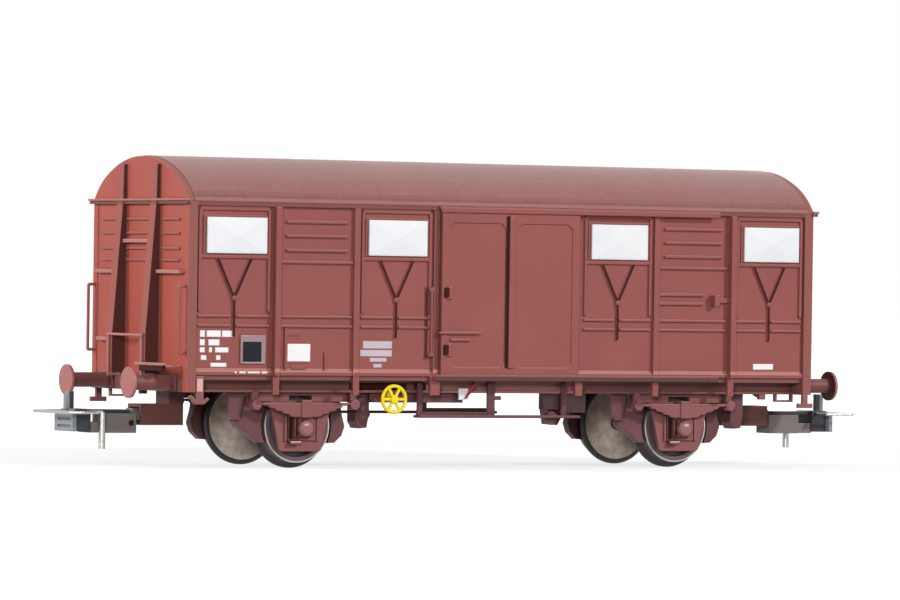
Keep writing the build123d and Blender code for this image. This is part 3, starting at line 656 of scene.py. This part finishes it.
boardSettings = {
    # blocks: x, z and the distance out from the wall, each from and to; insets: width and depth
    "boardSurround": {"finish": "greyBoardFrame", "slot": "body_plastic", "edge": 0.04,
                      "insets": ((0.25, 0.0), (0.05, -0.08)),
                      "blocks": (((-44.95, -40.85), (15.4, 19.55), (0.0, 0.3)),)},
    "slate": {"finish": "slateBoardPaint", "slot": "dark_plastic", "edge": None,
              "insets": ((0.1, -0.03),),
              "blocks": (((-44.55, -41.55), (15.7, 18.6), (0.05, 0.28)),)},
    "whitePlate": {"finish": "whitePadPrint", "slot": "white_paint", "edge": 0.04,
                   "insets": ((0.12, 0.03),),
                   "blocks": (((-37.2, -33.4), (15.76, 18.36), (0.0, 0.22)),)},
    "plateHolder": {"finish": "sprayedBodyShell", "slot": "body_plastic", "edge": 0.04,
                    "insets": (),
                    "blocks": (((-37.7, -37.3), (14.6, 20.6), (0.0, 0.34)),
                               ((-37.3, -35.0), (19.5, 20.3), (0.0, 0.14)),
                               ((-36.5, -34.1), (14.6, 15.2), (0.0, 0.14)),
                               ((-31.05, -30.75), (14.6, 17.1), (0.0, 0.3)))},
}


def makeBoards():
    fronts = {name: addPanels(name + "Front", board["blocks"], board["insets"], board["edge"])
              for name, board in boardSettings.items()}
    for name, front in fronts.items():
        board = boardSettings[name]
        for piece in (copyTurned(front, name + "Back"), front):
            finishPiece(piece, paint[board["finish"]], "van")


makeBoards()
print("boards made")


barSettings = {
    "film": 0.03, "shiftX": 0.15, "insets": ((0.04, 0.01),),
    # plain white bars: x from and to, z from and to
    "bars": ((-51.7, -50.9, 19.25, 20.2), (-50.6, -48.3, 19.25, 20.2), (-48.1, -46.3, 19.25, 20.2),
             (-51.7, -50.9, 18.0, 18.9), (-50.3, -48.5, 18.0, 18.9),
             (-51.7, -50.9, 17.0, 17.75), (-50.2, -49.7, 17.0, 17.75), (-49.2, -47.0, 17.0, 17.75),
             (-51.5, -50.6, 15.9, 16.6), (-49.0, -48.3, 15.9, 16.6), (-49.9, -47.3, 14.9, 15.5),
             (43.45, 47.1, 15.0, 15.9)),
}


def makeBars():
    b = barSettings
    blocks = [((x0 + b["shiftX"], x1 + b["shiftX"]), (z0, z1), (0.0, b["film"])) for x0, x1, z0, z1 in b["bars"]]
    front = addPanels("blankBarsFront", blocks, b["insets"])
    back = copyTurned(front, "blankBarsBack")
    for piece in (front, back):
        finishPiece(piece, paint["whitePadPrint"], "van")


makeBars()
print("blank bars made")


# Camera, light and floor

cameraSettings = {"place": (-0.474237, -0.821103, 0.028655), "right": (0.86649046, -0.49896777, 0.01501482),
                  "up": (-0.01107699, 0.01085221, 0.99987976), "back": (-0.49907072, -0.86655259, 0.00387628),
                  "focalPixels": 6280.708, "frameWidth": 900, "sensorMm": 36.0, "clipFrom": 0.05, "clipTo": 20}


def makeCamera():
    c = cameraSettings
    data = bpy.data.cameras.new("viewCamera")
    data.sensor_width = c["sensorMm"]
    data.lens = c["focalPixels"] / c["frameWidth"] * c["sensorMm"]
    data.clip_start = c["clipFrom"]
    data.clip_end = c["clipTo"]
    camera = bpy.data.objects.new("viewCamera", data)
    bpy.context.scene.collection.objects.link(camera)
    turn = Matrix((c["right"], c["up"], c["back"])).transposed()
    camera.matrix_world = Matrix.Translation(c["place"]) @ turn.to_4x4()
    bpy.context.scene.camera = camera


makeCamera()

lampSettings = {
    # name: direction from the van, distance, size, watts
    "frontRight": ((0.52, -0.8, 0.5), 1.3, 0.14, 8.5),
    "frontLow": ((-0.56, -0.82, 0.19), 1.3, 0.2, 7.7),
    "leftBehind": ((-0.95, 0.25, 0.35), 1.3, 0.50, 10.0),
    "behindRight": ((0.72, 0.68, 0.14), 1.3, 0.5, 4.5),
    "overhead": ((0.0, -0.1, 1.0), 1.4, 0.9, 3.5),
}


def makeLamps():
    for name, (direction, distance, size, watts) in lampSettings.items():
        data = bpy.data.lights.new(name, "AREA")
        data.shape = "DISK"
        data.size = size
        data.energy = watts
        lamp = bpy.data.objects.new(name, data)
        bpy.context.scene.collection.objects.link(lamp)
        towards = Vector(direction).normalized()
        facing = towards.to_track_quat("Z", "Y").to_matrix().to_4x4()
        lamp.matrix_world = Matrix.Translation(towards * distance) @ facing


makeLamps()

white = (1, 1, 1, 1)
roomSettings = {"light": 0.11}    # the room lights the van this much, and is white where it is seen


def makeRoom():
    world = bpy.data.worlds.new("paleRoom")
    world.use_nodes = True
    bpy.context.scene.world = world
    tree = world.node_tree
    tree.nodes.clear()
    output = addNode(tree, "ShaderNodeOutputWorld")
    rays = addNode(tree, "ShaderNodeLightPath").outputs
    seen = 0.0
    for ray in ("Is Camera Ray", "Is Glossy Ray", "Is Transmission Ray"):
        seen = addNode(tree, "ShaderNodeMath", {"operation": "MAXIMUM"}, {0: seen, 1: rays[ray]}).outputs["Value"]
    level = addNode(tree, "ShaderNodeMapRange", inputs={"Value": seen, "To Min": roomSettings["light"],
                                                        "To Max": 1.0})
    light = addNode(tree, "ShaderNodeBackground", inputs={"Color": white, "Strength": level.outputs["Result"]})
    tree.links.new(light.outputs["Background"], output.inputs["Surface"])


makeRoom()

floorSettings = {"size": 6.0, "tone": "#a8a8a8", "glowNear": 0.72, "glowFar": 1.0,
                 "fadeFrom": 0.15, "fadeTo": 0.45}    # metres from the van's middle


def makeFloor():
    f = floorSettings
    deselectAll()
    bpy.ops.mesh.primitive_plane_add(size=f["size"], location=(0, 0, 0))
    floor = bpy.context.object
    floor.name = "paleFloor"
    # matt white board, seen by the camera as bright as the room and greyer where a shadow falls
    material, tree, output, place = startMaterial("matWhiteBoard")
    matt = addNode(tree, "ShaderNodeBsdfDiffuse", inputs={"Color": toLinear(f["tone"])})
    rays = addNode(tree, "ShaderNodeLightPath").outputs
    seen = addNode(tree, "ShaderNodeMath", {"operation": "MAXIMUM"},
                   {0: rays["Is Camera Ray"], 1: rays["Is Glossy Ray"]})
    away = addNode(tree, "ShaderNodeVectorMath", {"operation": "LENGTH"}, {0: place})
    level = addNode(tree, "ShaderNodeMapRange",
                    inputs={"Value": away.outputs["Value"], "From Min": f["fadeFrom"], "From Max": f["fadeTo"],
                            "To Min": f["glowNear"], "To Max": f["glowFar"]})
    glow = addNode(tree, "ShaderNodeMath", {"operation": "MULTIPLY"},
                   {0: seen.outputs["Value"], 1: level.outputs["Result"]})
    bright = addNode(tree, "ShaderNodeEmission", inputs={"Color": white, "Strength": glow.outputs["Value"]})
    both = addNode(tree, "ShaderNodeAddShader", inputs={0: matt.outputs["BSDF"], 1: bright.outputs["Emission"]})
    tree.links.new(both.outputs["Shader"], output)
    floor.data.materials.append(material)


makeFloor()
print("studio ready")

bpy.context.scene.view_settings.view_transform = "Standard"
